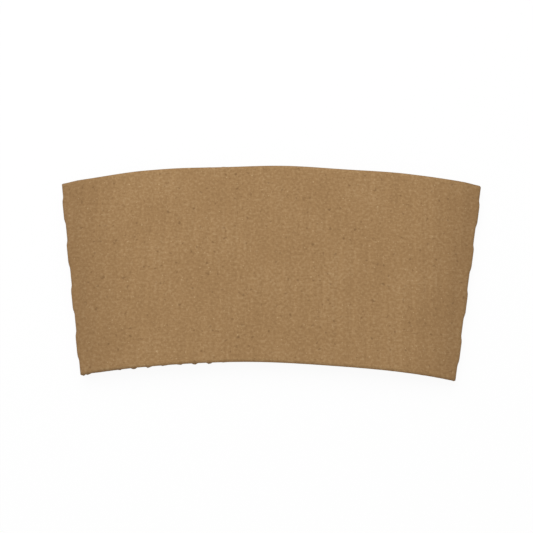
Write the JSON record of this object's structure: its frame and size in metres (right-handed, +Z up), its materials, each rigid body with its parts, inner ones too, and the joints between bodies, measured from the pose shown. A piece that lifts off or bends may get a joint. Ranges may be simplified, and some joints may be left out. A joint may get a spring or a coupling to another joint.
{
  "type": "coffee cup sleeve",
  "caption": "Folded-flat sleeve of single-face corrugated board that opens into a cone round a hot paper cup.",
  "frame": {"origin": "bottom centre of the sleeve's bounding box, on the surface it lies on", "axes": "+X across the width from fold to fold, +Y up the sleeve towards its wide rim, +Z up out of the front panel"},
  "size_m": [0.1334, 0.067, 0.0047],
  "materials": {
    "sleeve": "matt uncoated brown board"
  },
  "bodies": {
    "root": {"sleeve": "sleeve"}
  },
  "joints": []
}
